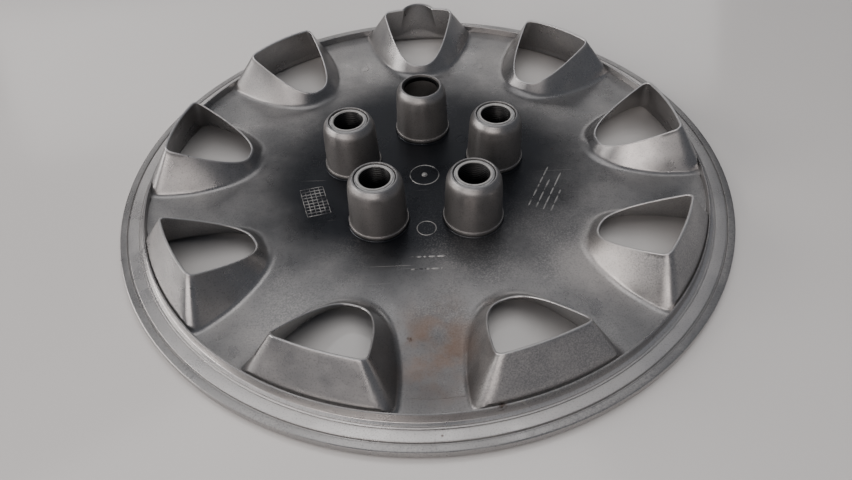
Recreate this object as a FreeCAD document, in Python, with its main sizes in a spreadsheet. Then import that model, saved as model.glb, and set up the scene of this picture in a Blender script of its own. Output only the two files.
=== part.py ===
import FreeCAD, Part
import math
import os
import re
import Sketcher

# Bolt-on wheel cover, lying face down. Millimetres.
# Z = 0 is the plane that the front face rests on, +Z points to the wheel, +Y points to the valve notch.
# The cover is one moulding. Four of its five lug bosses hold a captive nut cap with its retaining ring.

WINDOWS = 9
BOSSES = 5
# Boss 1 sits at +Y and is empty. Bosses count on anticlockwise, seen from the wheel side.
FILLED_BOSSES = (2, 3, 4, 5)

DIMENSIONS = {
    # rim
    "cover_radius": 196.0,
    "lip_inner": 191.6,
    "groove_inner": 190.6,
    "band_inner": 184.3,
    "step_inner": 183.7,
    "rib_outer": 180.3,
    "rib_inner": 178.8,
    "front_flat_inner": 182.0,
    "lip_top": 6.0,
    "lip_round": 0.7,
    "groove_floor": 5.0,
    "band_top": 6.3,
    "rib_foot": 7.1,
    "rib_top": 13.0,
    # plate and spokes
    "plate_back": 6.0,
    "plate_front": 3.2,
    "spoke_bend": 167.0,
    "spoke_rise": 150.0,
    "spoke_end_back": 8.2,
    "spoke_end_front": 0.3,
    "badge_radius": 26.0,
    "badge_depth": 0.8,
    # hoods round the vent windows
    "window_inner": 119.0,
    "window_outer": 164.8,
    "window_half": 26.6,
    "window_low": 13.1,
    "window_tilt": 26.4,
    "hood_base": 5.0,
    "hood_inner": 113.0,
    "hood_half": 45.5,
    "hood_reach": 176.6,
    "hood_outer": 184.0,
    "hood_edge": 0.8,
    "seam_radius": 178.0,
    "seam_floor": 11.0,
    "recess_base": 0.0,
    "recess_outer": 180.0,
    "bead_inner": 177.5,
    "bead_outer": 183.0,
    "bead_top": 6.0,
    # valve notch in the first hood
    "notch_axis": 160.0,
    "notch_outer": 13.0,
    "notch_inner": 11.4,
    "notch_chord": 163.2,
    "notch_top": 35.9,
    "notch_floor": 10.0,
    # lug bosses
    "boss_circle": 50.0,
    "collar_radius": 18.8,
    "collar_top": 9.3,
    "boss_base": 18.1,
    "boss_neck": 17.0,
    "boss_shoulder": 34.0,
    "boss_mouth": 13.5,
    "boss_top": 42.0,
    "ledge_radius": 12.6,
    "ledge_top": 40.5,
    "ledge_bottom": 38.0,
    "ledge_hole": 11.3,
    "pocket_top": 14.3,
    "pocket_front": 15.9,
    # captive nut cap
    "hex_flats": 19.0,
    "hex_front": 7.0,
    "hex_back": 24.0,
    "shank_radius": 11.0,
    "flange_radius": 13.6,
    "flange_front": 31.0,
    "flange_back": 33.5,
    "sleeve_radius": 11.0,
    "sleeve_top": 41.9,
    "ring_groove_radius": 10.55,
    "ring_groove_low": 40.45,
    "ring_groove_high": 41.45,
    "socket_radius": 9.3,
    "socket_floor": 20.0,
    "socket_lead": 0.5,
    # retaining ring
    "ring_inner": 10.6,
    "ring_outer": 12.2,
    "ring_low": 40.5,
    "ring_high": 41.4,
    "ring_edge": 0.2,
}

doc = FreeCAD.newDocument("wheel_cover")
sheet = doc.addObject("Spreadsheet::Sheet", "dims")


def fill_sheet():
    for row, (alias, size) in enumerate(DIMENSIONS.items(), start=1):
        sheet.set("A%d" % row, alias)
        sheet.set("B%d" % row, str(size))
        sheet.setAlias("B%d" % row, alias)
    doc.recompute()


def full(expression):
    """The expression with each size's name pointed at the sheet."""
    return re.sub(r"[a-z_]+", lambda word: "dims." + word.group(0), str(expression))


def value(expression):
    return float(sheet.evalExpression(full(expression)))


def origin_feature(body, role):
    for feature in body.Origin.OriginFeatures:
        if feature.Role == role:
            return feature
    raise RuntimeError("no origin feature " + role)


def new_body(label):
    body = doc.addObject("PartDesign::Body", label)
    body.Label = label
    return body


def new_sketch(body, name, role, shift=None):
    """A sketch on an origin plane. shift maps AttachmentOffset properties to expressions."""
    sketch = body.newObject("Sketcher::SketchObject", name)
    sketch.AttachmentSupport = [(origin_feature(body, role), "")]
    sketch.MapMode = "FlatFace"
    for path, expression in (shift or {}).items():
        sketch.setExpression("AttachmentOffset." + path, full(expression))
    return sketch


def draw_polygon(sketch, corners):
    """A closed outline whose corners are bound to the sheet. Each corner is a pair of expressions."""
    points = [FreeCAD.Vector(value(x), value(y), 0) for x, y in corners]
    count = len(points)
    for index in range(count):
        sketch.addGeometry(Part.LineSegment(points[index], points[(index + 1) % count]))
    for index in range(count):
        sketch.addConstraint(Sketcher.Constraint("Coincident", index, 2, (index + 1) % count, 1))
    for index, (x, y) in enumerate(corners):
        for kind, size in (("DistanceX", x), ("DistanceY", y)):
            number = sketch.addConstraint(Sketcher.Constraint(kind, -1, 1, index, 1, value(size)))
            if re.search("[a-z]", str(size)):
                sketch.setExpression("Constraints[%d]" % number, full(size))


def turn(body, kind, name, sketch):
    """A full turn of the sketch about its own vertical axis."""
    feature = body.newObject("PartDesign::" + kind, name)
    feature.Profile = sketch
    feature.ReferenceAxis = (sketch, ["V_Axis"])
    feature.Angle = 360.0
    sketch.Visibility = False
    doc.recompute()
    return feature


def repeat(body, name, features, count):
    """The features repeated round the body's Z axis."""
    pattern = body.newObject("PartDesign::PolarPattern", name)
    pattern.Originals = features
    pattern.Axis = (origin_feature(body, "Z_Axis"), [""])
    pattern.Angle = 360.0
    pattern.Occurrences = count
    body.Tip = pattern
    doc.recompute()
    return pattern


def round_about_window(sketch, inner, reach, half, outer, middle=0.0, stretch=1.0):
    """A window's outline: a blunt curve open outwards, closed by an arc round the cover's centre.

    Across the window the curve's distance from the centre grows as a power of the distance from the
    middle line, which gives a round inner end and nearly straight flanks.
    """
    power = 2.6
    steps = (-1.0, -0.85, -0.65, -0.4, -0.2, 0.0, 0.2, 0.4, 0.65, 0.85, 1.0)
    points = []
    for step in steps:
        radial = inner + (reach - inner) * abs(step) ** power
        points.append(FreeCAD.Vector(half * step, (radial - middle) * stretch, 0))
    flank = Part.BSplineCurve()
    flank.interpolate(points)
    top = FreeCAD.Vector(0, (outer - middle) * stretch, 0)
    sketch.addGeometry(flank)
    sketch.addGeometry(Part.Arc(points[0], top, points[-1]))


def window_loft(body, kind, name, base_sketch, top_sketch):
    feature = body.newObject("PartDesign::" + kind, name)
    feature.Profile = base_sketch
    feature.Sections = [top_sketch]
    feature.Ruled = True
    base_sketch.Visibility = False
    top_sketch.Visibility = False
    doc.recompute()
    return feature


def hood_base_sketch(body):
    sketch = new_sketch(body, "hood_base_outline", "XY_Plane", {"Base.z": "hood_base"})
    round_about_window(sketch, value("hood_inner"), value("hood_reach"), value("hood_half"),
                       value("hood_outer"))
    return sketch


def tilted_sketch(body, name, inset, lift):
    """The window's edge, on the plane that climbs outwards. inset moves it into the opening."""
    tilt = value("window_tilt")
    middle = value("window_inner")
    sketch = new_sketch(body, name, "XY_Plane")
    turned = FreeCAD.Rotation(FreeCAD.Vector(1, 0, 0), tilt)
    place = FreeCAD.Vector(0, middle, value("window_low") + lift)
    sketch.AttachmentOffset = FreeCAD.Placement(place, turned)
    outer = value("window_outer") - inset
    half = value("window_half") - inset
    reach = math.sqrt(outer ** 2 - half ** 2)
    round_about_window(sketch, middle + inset, reach, half, outer, middle,
                       1.0 / math.cos(math.radians(tilt)))
    return sketch


def recess_base_sketch(body):
    sketch = new_sketch(body, "recess_base_outline", "XY_Plane", {"Base.z": "recess_base"})
    half = value("hood_half - 3.0")
    outer = value("recess_outer")
    reach = math.sqrt(outer ** 2 - half ** 2)
    round_about_window(sketch, value("hood_inner"), reach, half, outer)
    return sketch


def hoods(body):
    """Nine hoods, trimmed to the seam that runs just inside the rim's rib."""
    outer = window_loft(body, "AdditiveLoft", "hood", hood_base_sketch(body),
                        tilted_sketch(body, "hood_edge_outline", -value("hood_edge"), 0.0))
    repeat(body, "hood_ring", [outer], WINDOWS)
    sketch = new_sketch(body, "hood_trim_profile", "XZ_Plane")
    draw_polygon(sketch, (
        ("seam_radius", "notch_top + 10"),
        ("seam_radius", "seam_floor"),
        ("rib_inner", "seam_floor"),
        ("rib_inner", "-1"),
        ("cover_radius + 10", "-1"),
        ("cover_radius + 10", "notch_top + 10")))
    turn(body, "Groove", "hood_trim", sketch)


def plate(body):
    """The disc that carries the spokes. Its spokes climb slightly towards the rim."""
    sketch = new_sketch(body, "plate_profile", "XZ_Plane")
    draw_polygon(sketch, (
        ("0", "plate_front + badge_depth"),
        ("badge_radius", "plate_front + badge_depth"),
        ("badge_radius + badge_depth", "plate_front"),
        ("spoke_bend", "plate_front"),
        ("rib_inner", "spoke_end_front"),
        ("rib_inner", "spoke_end_back"),
        ("spoke_rise", "plate_back"),
        ("0", "plate_back")))
    turn(body, "Revolution", "plate", sketch)


def rim(body):
    """The outer ring: front bead, lip, groove, seating band and the standing rib."""
    sketch = new_sketch(body, "rim_profile", "XZ_Plane")
    draw_polygon(sketch, (
        ("rib_inner", "spoke_end_front"),
        ("front_flat_inner", "0"),
        ("cover_radius - 1.8", "0"),
        ("cover_radius - 0.6", "0.8"),
        ("cover_radius", "lip_top - lip_round"),
        ("cover_radius - lip_round", "lip_top"),
        ("lip_inner", "lip_top"),
        ("lip_inner - 0.2", "groove_floor"),
        ("groove_inner + 0.2", "groove_floor"),
        ("groove_inner", "band_top"),
        ("band_inner", "band_top"),
        ("band_inner - 0.1", "band_top - 0.5"),
        ("step_inner + 0.1", "band_top - 0.5"),
        ("step_inner", "band_top + 0.1"),
        ("rib_outer + 0.4", "rib_foot"),
        ("rib_outer", "rib_foot + 0.5"),
        ("rib_outer - 0.15", "rib_top"),
        ("rib_inner + 0.15", "rib_top"),
        ("rib_inner", "rib_top - 0.3")))
    turn(body, "Revolution", "rim", sketch)


def valve_notch(body):
    """A half-round bulge in the first hood's outer wall, which clears the tyre valve."""
    for name, kind, radius, low, high, chord in (
            ("notch_wall", "Pad", "notch_outer", "plate_back", "notch_top", "notch_chord"),
            ("notch_bore", "Pocket", "notch_inner", "notch_floor", "notch_top + 5", "notch_axis - 2")):
        sketch = new_sketch(body, name + "_outline", "XY_Plane", {"Base.z": low})
        size = value(radius)
        axis = value("notch_axis")
        drop = value(chord) - axis
        span = math.sqrt(size ** 2 - drop ** 2)
        left = FreeCAD.Vector(-span, axis + drop, 0)
        right = FreeCAD.Vector(span, axis + drop, 0)
        crown = FreeCAD.Vector(0, axis + size, 0)
        sketch.addGeometry(Part.LineSegment(left, right))
        sketch.addGeometry(Part.Arc(right, crown, left))
        feature = body.newObject("PartDesign::" + kind, name)
        feature.Profile = sketch
        feature.setExpression("Length", full("%s - %s" % (high, low)))
        feature.Reversed = kind == "Pocket"
        sketch.Visibility = False
        doc.recompute()
        yield feature


def recesses(body):
    inner = window_loft(body, "SubtractiveLoft", "recess", recess_base_sketch(body),
                        tilted_sketch(body, "recess_edge_outline", value("hood_edge"), 0.5))
    repeat(body, "recess_ring", [inner], WINDOWS)


def front_bead(body):
    """The ring at the front that closes every recess below the foot of its outer wall."""
    sketch = new_sketch(body, "front_bead_profile", "XZ_Plane")
    draw_polygon(sketch, (
        ("bead_inner", "0.6"),
        ("bead_inner + 0.6", "0"),
        ("bead_outer", "0"),
        ("bead_outer", "bead_top - 0.5"),
        ("bead_inner", "bead_top")))
    turn(body, "Revolution", "front_bead", sketch)


def bosses(body):
    """Five hollow conical bosses on the lug circle, each with a ledge just inside its mouth."""
    at_boss = {"Base.x": "boss_circle"}
    wall = new_sketch(body, "boss_profile", "YZ_Plane", at_boss)
    draw_polygon(wall, (
        ("0", "plate_back - 1"),
        ("collar_radius", "plate_back - 1"),
        ("collar_radius", "collar_top - 0.4"),
        ("collar_radius - 0.4", "collar_top"),
        ("boss_base", "collar_top"),
        ("boss_neck", "boss_shoulder"),
        ("boss_neck - 0.35", "boss_shoulder + 3.0"),
        ("boss_neck - 1.4", "boss_shoulder + 5.8"),
        ("boss_mouth + 0.6", "boss_top - 0.35"),
        ("boss_mouth", "boss_top"),
        ("0", "boss_top")))
    outer = turn(body, "Revolution", "boss", wall)
    repeat(body, "boss_ring", [outer], BOSSES)
    hollow = new_sketch(body, "pocket_profile", "YZ_Plane", at_boss)
    draw_polygon(hollow, (
        ("0", "-1"),
        ("pocket_front", "-1"),
        ("pocket_front", "plate_front"),
        ("pocket_top", "ledge_bottom"),
        ("ledge_hole", "ledge_bottom"),
        ("ledge_hole", "ledge_top"),
        ("ledge_radius", "ledge_top"),
        ("ledge_radius", "boss_top + 1"),
        ("0", "boss_top + 1")))
    inner = turn(body, "Groove", "pocket", hollow)
    repeat(body, "pocket_ring", [inner], BOSSES)


def wheel_cover():
    body = new_body("wheel_cover")
    plate(body)
    hoods(body)
    rim(body)
    notch = valve_notch(body)
    next(notch)
    recesses(body)
    front_bead(body)
    next(notch)
    bosses(body)
    return body


def boss_placement(number):
    """Where boss number stands: boss 1 at +Y, the others anticlockwise from it."""
    turned = FreeCAD.Rotation(FreeCAD.Vector(0, 0, 1), 360.0 / BOSSES * (number - 1))
    centre = turned.multVec(FreeCAD.Vector(0, value("boss_circle"), 0))
    return FreeCAD.Placement(centre, turned)


def nut_cap(number):
    """Hexagon head at the front, float flange, sleeve with the ring's groove, blind threaded socket."""
    body = new_body("nut_cap_%d" % number)
    stem = new_sketch(body, "stem_profile_%d" % number, "XZ_Plane")
    draw_polygon(stem, (
        ("0", "hex_back - 2"),
        ("shank_radius", "hex_back - 2"),
        ("shank_radius", "flange_front"),
        ("flange_radius", "flange_front"),
        ("flange_radius", "flange_back"),
        ("sleeve_radius", "flange_back"),
        ("sleeve_radius", "ring_groove_low"),
        ("ring_groove_radius", "ring_groove_low"),
        ("ring_groove_radius", "ring_groove_high"),
        ("sleeve_radius", "ring_groove_high"),
        ("sleeve_radius", "sleeve_top - 0.2"),
        ("sleeve_radius - 0.2", "sleeve_top"),
        ("0", "sleeve_top")))
    turn(body, "Revolution", "stem_%d" % number, stem)
    outline = new_sketch(body, "hex_outline_%d" % number, "XY_Plane", {"Base.z": "hex_front"})
    corner = value("hex_flats") / math.sqrt(3.0)
    points = []
    for index in range(7):
        angle = math.radians(60.0 * index)
        points.append(FreeCAD.Vector(corner * math.cos(angle), corner * math.sin(angle), 0))
    for start, end in zip(points[:-1], points[1:]):
        outline.addGeometry(Part.LineSegment(start, end))
    head = body.newObject("PartDesign::Pad", "hex_head_%d" % number)
    head.Profile = outline
    head.setExpression("Length", full("hex_back - hex_front"))
    outline.Visibility = False
    doc.recompute()
    crown = new_sketch(body, "crown_profile_%d" % number, "XZ_Plane")
    draw_polygon(crown, (
        ("hex_flats / 2 - 0.4", "hex_front - 1"),
        ("hex_flats / 2 + 3", "hex_front - 1"),
        ("hex_flats / 2 + 3", "hex_front + 2"),
        ("hex_flats / 2 - 0.4", "hex_front")))
    turn(body, "Groove", "crown_chamfer_%d" % number, crown)
    bore = new_sketch(body, "socket_profile_%d" % number, "XZ_Plane")
    draw_polygon(bore, (
        ("0", "socket_floor"),
        ("socket_radius", "socket_floor"),
        ("socket_radius", "sleeve_top - socket_lead"),
        ("socket_radius + socket_lead", "sleeve_top"),
        ("socket_radius + socket_lead", "sleeve_top + 1"),
        ("0", "sleeve_top + 1")))
    turn(body, "Groove", "socket_%d" % number, bore)
    body.Placement = boss_placement(number)
    return body


def cap_retainer(number):
    """Flat ring that rides in the nut cap's groove and rests on the boss's ledge."""
    body = new_body("cap_retainer_%d" % number)
    section = new_sketch(body, "ring_profile_%d" % number, "XZ_Plane")
    draw_polygon(section, (
        ("ring_inner", "ring_low"),
        ("ring_outer", "ring_low"),
        ("ring_outer", "ring_high - ring_edge"),
        ("ring_outer - ring_edge", "ring_high"),
        ("ring_inner", "ring_high")))
    turn(body, "Revolution", "ring_%d" % number, section)
    body.Placement = boss_placement(number)
    return body


def check(pieces):
    doc.recompute()
    for item in doc.Objects:
        if "Invalid" in item.State or "Error" in item.State:
            raise RuntimeError("failed feature: %s %s" % (item.Name, item.State))
    for piece in pieces:
        shape = piece.Shape
        if shape.isNull() or not shape.isValid() or len(shape.Solids) != 1:
            raise RuntimeError("bad shape: " + piece.Label)


def write(pieces):
    os.makedirs("parts", exist_ok=True)
    for piece in pieces:
        piece.Shape.exportStep(os.path.join("parts", piece.Label + ".step"))
        box = piece.Shape.BoundBox
        print("%-16s volume %9.0f mm3  z %6.2f to %6.2f" % (
            piece.Label, piece.Shape.Volume, box.ZMin, box.ZMax))


fill_sheet()
pieces = [wheel_cover()]
for number in FILLED_BOSSES:
    pieces.append(nut_cap(number))
    pieces.append(cap_retainer(number))
check(pieces)
write(pieces)
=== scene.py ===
import math

import bmesh
import bpy
import numpy as np
from mathutils import Matrix, Vector
from mathutils.geometry import delaunay_2d_cdt


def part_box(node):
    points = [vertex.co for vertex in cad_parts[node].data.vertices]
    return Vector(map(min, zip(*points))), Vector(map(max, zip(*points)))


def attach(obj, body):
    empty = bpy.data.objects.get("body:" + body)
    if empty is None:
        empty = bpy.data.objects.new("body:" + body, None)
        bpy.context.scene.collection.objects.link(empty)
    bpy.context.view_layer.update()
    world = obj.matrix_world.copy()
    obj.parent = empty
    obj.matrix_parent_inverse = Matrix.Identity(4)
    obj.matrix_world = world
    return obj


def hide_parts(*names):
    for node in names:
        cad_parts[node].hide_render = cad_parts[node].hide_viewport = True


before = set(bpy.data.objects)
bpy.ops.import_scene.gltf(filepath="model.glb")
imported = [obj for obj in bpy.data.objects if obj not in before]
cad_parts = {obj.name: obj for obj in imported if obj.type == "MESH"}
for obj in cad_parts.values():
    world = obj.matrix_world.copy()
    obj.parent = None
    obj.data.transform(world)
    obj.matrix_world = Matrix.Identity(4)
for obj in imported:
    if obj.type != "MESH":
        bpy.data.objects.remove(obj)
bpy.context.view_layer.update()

# Lengths in this script are millimetres in the CAD frame, and meshes are made in metres.
MM = 0.001
COVER_LOW, COVER_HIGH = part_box("wheel_cover")
COVER_RADIUS = COVER_HIGH.x / MM
BOSS_TOP = COVER_HIGH.z / MM
WINDOWS = 9
BOSSES = 5
SECTOR = math.radians(360.0 / WINDOWS)
HALF_SECTOR = SECTOR / 2
LUG_CIRCLE_RADIUS = 50.0
CAPS = sorted(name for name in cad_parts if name.startswith("nut_cap_"))

# Plate, spokes and rim.
PLATE_BACK = 6.0
PLATE_FRONT = 3.2
SPOKE_BEND = 167.0
SPOKE_RISE = 150.0
SPOKE_END_BACK = 8.2
RIB_INNER = 178.8
RIB_OUTER = 180.3
RIB_TOP = 13.0
RIB_HIDDEN = 179.5
SEAM_RADIUS = 178.0
SEAM_FLOOR = 10.5
# Height over which the seam between hood and rib opens.
SEAM_OPENS = 0.5
FRONT_FLAT = 178.6
FRONT_EDGE = 184.5
HUB_RADIUS = 92.0
BADGE_RADIUS = 26.0
BADGE_DEPTH = 0.8

# Hoods and windows.
WINDOW_INNER = 119.0
WINDOW_OUTER = 164.8
WINDOW_HALF = 26.6
WINDOW_LOW = 13.1
WINDOW_SLOPE = math.tan(math.radians(26.4))
HOOD_INNER = 113.0
HOOD_HALF = 45.5
HOOD_REACH = 176.6
HOOD_OUTER = 184.0
HOOD_BASE = 5.0
RECESS_BASE = 0.0
RECESS_HALF = 42.5
RECESS_OUTER = 180.0
BEAD_INNER = 177.5
# Half the thickness of a hood's wall at its edge, and how far the edge is rounded up.
EDGE_HALF = 0.75
EDGE_RISE = 0.55
# How blunt a window's nose is: the power of its outline.
BLUNT = 2.6
# How soft the corners of each outline are.
TOP_SOFT_OUT = 5.4
TOP_SOFT_IN = 4.0
FOOT_SOFT = 9.0
RECESS_SOFT = 7.0
# The fillet at a hood's foot: its reach up the wall and out on the plate, and its narrowest share of both.
FILLET_UP = 5.0
FILLET_OUT = 6.5
FILLET_NARROWEST = 0.45
# The rounded front edge of a recess: its reach up the wall and out on the front face.
FRONT_ROUND_UP = 3.0
FRONT_ROUND_OUT = 3.2
# A rounding takes at most this share of its wall.
WALL_SHARE = 0.45

# Valve notch in the first hood.
NOTCH_AXIS = 160.0
NOTCH_OUTER = 13.0
NOTCH_INNER = 11.4
NOTCH_ZONE = 8.0
# Square of the length over which the notch runs out into the wall.
NOTCH_BLEND = 0.36

# Lug bosses.
COLLAR_RADIUS = 18.8
POCKET_FRONT = 15.9

# How finely the hoods are meshed.
FLANK_ROWS = 97
CORNER_ROWS = 9
WALL_ROWS = 60
ROWS = FLANK_ROWS + 2 * CORNER_ROWS + WALL_ROWS
NOSE = FLANK_ROWS // 2
# Rows from the nose to where the fillet stops narrowing.
FILLET_SPAN = 0.7 * NOSE
EDGE_POINTS = 11
BACK_COLUMNS = 9
FRONT_COLUMNS = 7
BOSS_STEPS = 96
# Halvings in the search for a wall's foot, and how far past its base the foot may be.
SEARCH_STEPS = 40
SEARCH_REACH = 1.6


# ---------------------------------------------------------------- small helpers
def back_height(radius):
    """Height of the plate's wheel side: flat, then climbing slightly along the spoke ends."""
    along = max(radius - SPOKE_RISE, 0.0) / (RIB_INNER - SPOKE_RISE)
    return PLATE_BACK + (SPOKE_END_BACK - PLATE_BACK) * along ** 1.4


def front_height(radius):
    """Height of the plate's front side, which slopes down to the rim's flat face."""
    slope = PLATE_FRONT / (FRONT_FLAT - SPOKE_BEND)
    return PLATE_FRONT - slope * min(max(radius - SPOKE_BEND, 0.0), FRONT_FLAT - SPOKE_BEND)


def bezier(start, control, end, steps):
    """Points on a quadratic curve, both ends included."""
    at = np.linspace(0.0, 1.0, steps)[:, None]
    return (1 - at) ** 2 * start + 2 * at * (1 - at) * control + at ** 2 * end


def polar(radius, angle, height):
    """A point by its radius and its angle clockwise from the sector's middle line."""
    return np.array([radius * math.sin(angle), radius * math.cos(angle), height])


def radius_of(point):
    return math.hypot(point[0], point[1])


def angle_of(point):
    return math.atan2(point[0], point[1])


def turned(points, angle):
    """The points turned anticlockwise about the cover's axis."""
    c, s = math.cos(angle), math.sin(angle)
    return np.asarray(points) @ np.array([[c, s, 0.0], [-s, c, 0.0], [0.0, 0.0, 1.0]])


def fractions(points):
    """Share of the line's length reached at each point."""
    steps = np.linalg.norm(np.diff(points, axis=0), axis=1)
    along = np.concatenate([[0.0], np.cumsum(steps)])
    return along / along[-1]


def inside(point, loop):
    """Whether a point in plan is inside a closed loop, by counting crossings."""
    a = np.asarray(loop)[:, :2]
    b = np.roll(a, -1, axis=0)
    spans = (a[:, 1] > point[1]) != (b[:, 1] > point[1])
    rise = np.where(spans, b[:, 1] - a[:, 1], 1.0)
    crossing = a[:, 0] + (point[1] - a[:, 1]) / rise * (b[:, 0] - a[:, 0])
    return int(np.count_nonzero(spans & (point[0] < crossing))) % 2 == 1


# ---------------------------------------------------------------- mesh collector
class Skin:
    """Collects points and faces. Points that coincide are merged at the end."""

    def __init__(self):
        self.points = []
        self.faces = []

    def add(self, points):
        start = len(self.points)
        self.points.extend(tuple(float(v) * MM for v in point) for point in points)
        return range(start, len(self.points))

    def grid(self, rows, closed=False):
        """Quads between neighbouring rows of points. closed joins the last row to the first."""
        index = [self.add(row) for row in rows]
        pairs = list(zip(index, index[1:]))
        if closed:
            pairs.append((index[-1], index[0]))
        for first, second in pairs:
            self.faces.extend(zip(first[:-1], second[:-1], second[1:], first[1:]))

    def zipper(self, first, second, first_at, second_at):
        """Triangles between two open lines of points, matched by a value that grows along both."""
        a, b = self.add(first), self.add(second)
        i = j = 0
        while i < len(a) - 1 or j < len(b) - 1:
            last_a, last_b = i == len(a) - 1, j == len(b) - 1
            if last_b or (not last_a and first_at[i + 1] <= second_at[j + 1]):
                self.faces.append((a[i], b[j], a[i + 1]))
                i += 1
            else:
                self.faces.append((a[i], b[j], b[j + 1]))
                j += 1

    def sheet(self, outline, holes, height):
        """A level face inside the outline and outside the holes."""
        loops = [outline] + holes
        flat, edges = [], []
        for loop in loops:
            start = len(flat)
            flat.extend(Vector((float(p[0]), float(p[1]))) for p in loop)
            count = len(loop)
            edges.extend((start + n, start + (n + 1) % count) for n in range(count))
        points, _, faces, *_ = delaunay_2d_cdt(flat, edges, [], 0, 1e-5)
        index = self.add([(p.x, p.y, height) for p in points])
        for face in faces:
            middle = sum((points[n] for n in face), Vector((0.0, 0.0))) / len(face)
            if inside(middle, outline) and not any(inside(middle, hole) for hole in holes):
                self.faces.append(tuple(index[n] for n in face))

    def mesh(self, name, merge=0.004):
        data = bpy.data.meshes.new(name)
        data.from_pydata(self.points, [], self.faces)
        work = bmesh.new()
        work.from_mesh(data)
        bmesh.ops.remove_doubles(work, verts=work.verts, dist=merge * MM)
        bmesh.ops.dissolve_degenerate(work, edges=work.edges, dist=merge * MM)
        bmesh.ops.recalc_face_normals(work, faces=work.faces)
        work.to_mesh(data)
        work.free()
        return data


def place(name, data, body, material, slot, sharp=24.0):
    """Makes the object, shades it smooth except at real edges, and fixes it to its body."""
    piece = bpy.data.objects.new(name, data)
    bpy.context.scene.collection.objects.link(piece)
    data.shade_smooth()
    data.set_sharp_from_angle(angle=math.radians(sharp))
    data.materials.append(material)
    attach(piece, body)
    return piece


# ---------------------------------------------------------------- window outlines
def outline(inner, reach, half, outer, soft):
    """A window's closed outline in plan as (across, outwards) points.

    The rows run up one flank, round the inner end, down the other flank, round a soft corner, back
    along the outer arc and round the second corner.
    """
    steepness = BLUNT * (reach - inner) / half
    cut = 1.0 - soft / (half * math.hypot(1.0, steepness))
    spread = np.linspace(-1.0, 1.0, FLANK_ROWS)
    spread = np.sign(spread) * np.abs(spread) ** 1.25 * cut
    flank = np.stack([half * spread, inner + (reach - inner) * np.abs(spread) ** BLUNT], -1)
    side = math.asin(half / outer) - soft / outer
    angles = np.linspace(side, -side, WALL_ROWS)
    arc = np.stack([outer * np.sin(angles), outer * np.cos(angles)], -1)
    corner = np.array([half, math.sqrt(outer ** 2 - half ** 2)])
    right = bezier(flank[-1], corner, arc[0], CORNER_ROWS + 2)[1:-1]
    left = bezier(arc[-1], corner * [-1, 1], flank[0], CORNER_ROWS + 2)[1:-1]
    return np.concatenate([flank, right, arc, left])


def tilted_outline(inset, soft):
    """The window's edge, on the plane that climbs outwards. inset moves it into the opening."""
    outer = WINDOW_OUTER - inset
    half = WINDOW_HALF - inset
    plan = outline(WINDOW_INNER + inset, math.sqrt(outer ** 2 - half ** 2), half, outer, soft)
    height = WINDOW_LOW + (plan[:, 1] - WINDOW_INNER) * WINDOW_SLOPE
    return np.column_stack([plan, height])


def level_outline(inner, reach, half, outer, height, soft):
    plan = outline(inner, reach, half, outer, soft)
    return np.column_stack([plan, np.full(len(plan), height)])


def foot_on(top, base, height_at):
    """Where the straight line from top through base meets the plate."""
    low, high = 0.0, SEARCH_REACH
    for _ in range(SEARCH_STEPS):
        middle = (low + high) / 2
        point = top + (base - top) * middle
        if point[2] > height_at(radius_of(point)):
            low = middle
        else:
            high = middle
    return top + (base - top) * low


def within(point, limit):
    radius = radius_of(point)
    if radius <= limit:
        return point
    return np.array([point[0] * limit / radius, point[1] * limit / radius, point[2]])


def seam(point):
    """Keeps a hood inside the rim's rib, with an open seam above the seam's floor."""
    blend = min(max((point[2] - SEAM_FLOOR) / SEAM_OPENS, 0.0), 1.0)
    return within(point, RIB_HIDDEN + (SEAM_RADIUS - RIB_HIDDEN) * blend)


def notched(point, radius):
    """Moves a point of the first window's outer wall out to the half-round valve notch."""
    if abs(point[0]) >= radius or point[1] < WINDOW_OUTER - NOTCH_ZONE:
        return point
    bulge = NOTCH_AXIS + math.sqrt(radius ** 2 - point[0] ** 2)
    gap = point[1] - bulge
    out = 0.5 * (point[1] + bulge + math.sqrt(gap ** 2 + NOTCH_BLEND))
    return np.array([point[0], out, point[2]])


def outward(loop):
    """Unit directions in plan, pointing out of the loop."""
    along = np.roll(loop, -1, axis=0)[:, :2] - np.roll(loop, 1, axis=0)[:, :2]
    along /= np.maximum(np.linalg.norm(along, axis=1), 1e-9)[:, None]
    return np.column_stack([along[:, 1], -along[:, 0]])


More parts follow.
